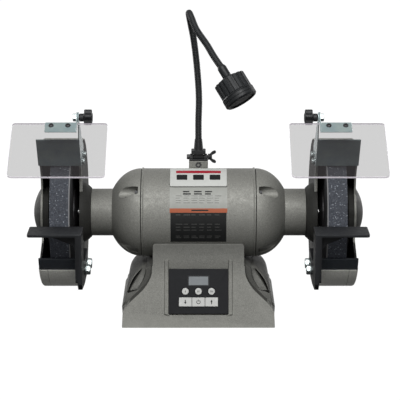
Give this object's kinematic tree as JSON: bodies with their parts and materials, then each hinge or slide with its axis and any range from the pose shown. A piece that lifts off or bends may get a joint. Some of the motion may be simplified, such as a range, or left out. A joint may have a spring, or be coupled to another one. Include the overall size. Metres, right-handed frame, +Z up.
{
  "type": "bench grinder",
  "caption": "Bench grinder on a cast base, with guarded wheels at both ends, clear eye shields, adjustable tool rests, a speed control panel and a gooseneck lamp.",
  "frame": {"origin": "centre of the base's flat underside, below the middle of the motor", "axes": "+Z up, +X along the spindle to the operator's right, the operator stands at -Y"},
  "size_m": [0.509, 0.3021, 0.4391],
  "materials": {
    "casting_paint": "grey hammered enamel, satin",
    "cast_iron_paint": "grey hammered enamel over cast iron",
    "black_paint": "black paint, satin",
    "black_plastic": "fine texture",
    "white_plastic": "smooth",
    "badge": "printed plate",
    "zinc": "zinc plated",
    "steel": "machined",
    "abrasive": "vitrified aluminium oxide grain, matt",
    "clear": "clear polycarbonate",
    "display_glass": "liquid crystal window",
    "lens_glass": "lamp lens",
    "copper": "varnished copper wire",
    "board": "circuit board"
  },
  "bodies": {
    "stand": {"base_casting": "cast_iron_paint", "base_bottom_plate": "steel", "drive_board": "board", "cable_gland": "black_plastic", "control_panel": "black_plastic", "display_window": "display_glass", "motor_frame": "casting_paint", "stator_core": "steel", "stator_windings": "copper", "end_bell_right": "casting_paint", "end_bell_left": "casting_paint", "bearing_right": "steel", "bearing_left": "steel", "tie_bolt_1": "steel", "tie_bolt_2": "steel", "tie_bolt_3": "steel", "tie_bolt_4": "steel", "badge_plate": "badge", "inner_guard_right": "cast_iron_paint", "inner_guard_left": "cast_iron_paint", "outer_cover_right": "casting_paint", "outer_cover_left": "casting_paint", "rest_bolt_1_right": "zinc", "rest_bolt_1_left": "zinc", "rest_bolt_2_right": "zinc", "rest_bolt_2_left": "zinc", "lamp_bracket": "casting_paint", "lamp_clevis": "black_plastic"},
    "spindle": {"shaft": "steel", "rotor": "steel", "wheel_right": "abrasive", "wheel_left": "abrasive", "inner_flange_right": "steel", "inner_flange_left": "steel", "outer_flange_right": "steel", "outer_flange_left": "steel", "spindle_nut_right": "steel", "spindle_nut_left": "steel"},
    "rest_right": {"tool_rest_right": "black_paint"},
    "rest_left": {"tool_rest_left": "black_paint"},
    "arrestor_right": {"spark_arrestor_right": "zinc"},
    "arrestor_left": {"spark_arrestor_left": "zinc"},
    "shield_right": {"shield_holder_right": "zinc", "shield_pane_right": "clear"},
    "shield_left": {"shield_holder_left": "zinc", "shield_pane_left": "clear"},
    "knob_right": {"shield_knob_right": "black_plastic"},
    "knob_left": {"shield_knob_left": "black_plastic"},
    "preset_low_button": {"preset_low": "white_plastic"},
    "preset_mid_button": {"preset_mid": "white_plastic"},
    "preset_high_button": {"preset_high": "white_plastic"},
    "down_key": {"key_down": "white_plastic"},
    "power_key": {"key_power": "white_plastic"},
    "up_key": {"key_up": "white_plastic"},
    "lamp_arm": {"lamp_hub": "black_plastic", "gooseneck_lower": "black_plastic"},
    "lamp_wing_nut": {"wing_nut": "black_plastic"},
    "lamp_end": {"gooseneck_upper": "black_plastic", "lamp_head": "black_plastic", "lamp_lens": "lens_glass"}
  },
  "joints": [
    {"name": "spindle_spin", "type": "hinge", "parent": "stand", "child": "spindle", "pos_m": [0, 0, 0.145], "axis": [1, 0, 0], "continuous": true},
    {"name": "rest_slide_right", "type": "slide", "parent": "stand", "child": "rest_right", "axis": [0, -1, 0], "range_m": [-0.003, 0.01]},
    {"name": "rest_slide_left", "type": "slide", "parent": "stand", "child": "rest_left", "axis": [0, -1, 0], "range_m": [-0.003, 0.01]},
    {"name": "arrestor_adjust_right", "type": "slide", "parent": "stand", "child": "arrestor_right", "axis": [0, -0.5174, 0.8557], "range_m": [-0.003, 0.007]},
    {"name": "arrestor_adjust_left", "type": "slide", "parent": "stand", "child": "arrestor_left", "axis": [0, -0.5174, 0.8557], "range_m": [-0.003, 0.007]},
    {"name": "shield_tilt_right", "type": "hinge", "parent": "arrestor_right", "child": "shield_right", "pos_m": [0.166, -0.085, 0.303], "axis": [-1, 0, 0], "range_deg": [-18, 45]},
    {"name": "shield_tilt_left", "type": "hinge", "parent": "arrestor_left", "child": "shield_left", "pos_m": [-0.166, -0.085, 0.303], "axis": [-1, 0, 0], "range_deg": [-18, 45]},
    {"name": "shield_knob_turn_right", "type": "hinge", "parent": "arrestor_right", "child": "knob_right", "pos_m": [0.152, -0.085, 0.303], "axis": [1, 0, 0], "continuous": true},
    {"name": "shield_knob_turn_left", "type": "hinge", "parent": "arrestor_left", "child": "knob_left", "pos_m": [-0.152, -0.085, 0.303], "axis": [1, 0, 0], "continuous": true},
    {"name": "preset_low_press", "type": "slide", "parent": "stand", "child": "preset_low_button", "axis": [0, 0.9676, -0.2524], "range_m": [0, 0.001], "stiffness_N_per_m": 500},
    {"name": "preset_mid_press", "type": "slide", "parent": "stand", "child": "preset_mid_button", "axis": [0, 0.9676, -0.2524], "range_m": [0, 0.001], "stiffness_N_per_m": 500},
    {"name": "preset_high_press", "type": "slide", "parent": "stand", "child": "preset_high_button", "axis": [0, 0.9676, -0.2524], "range_m": [0, 0.001], "stiffness_N_per_m": 500},
    {"name": "key_down_press", "type": "slide", "parent": "stand", "child": "down_key", "axis": [0, 0.9676, -0.2524], "range_m": [0, 0.001], "stiffness_N_per_m": 500},
    {"name": "key_power_press", "type": "slide", "parent": "stand", "child": "power_key", "axis": [0, 0.9676, -0.2524], "range_m": [0, 0.001], "stiffness_N_per_m": 500},
    {"name": "key_up_press", "type": "slide", "parent": "stand", "child": "up_key", "axis": [0, 0.9676, -0.2524], "range_m": [0, 0.001], "stiffness_N_per_m": 500},
    {"name": "lamp_tilt", "type": "hinge", "parent": "stand", "child": "lamp_arm", "pos_m": [0, 0.012, 0.2245], "axis": [1, 0, 0], "range_deg": [-30, 40]},
    {"name": "wing_nut_turn", "type": "hinge", "parent": "stand", "child": "lamp_wing_nut", "pos_m": [0.016, 0.012, 0.2245], "axis": [1, 0, 0], "continuous": true},
    {"name": "gooseneck_bend", "type": "hinge", "parent": "lamp_arm", "child": "lamp_end", "pos_m": [-0.0064, 0.022, 0.391], "axis": [-0.7507, -0.6606, 0], "range_deg": [-10, 45]}
  ]
}
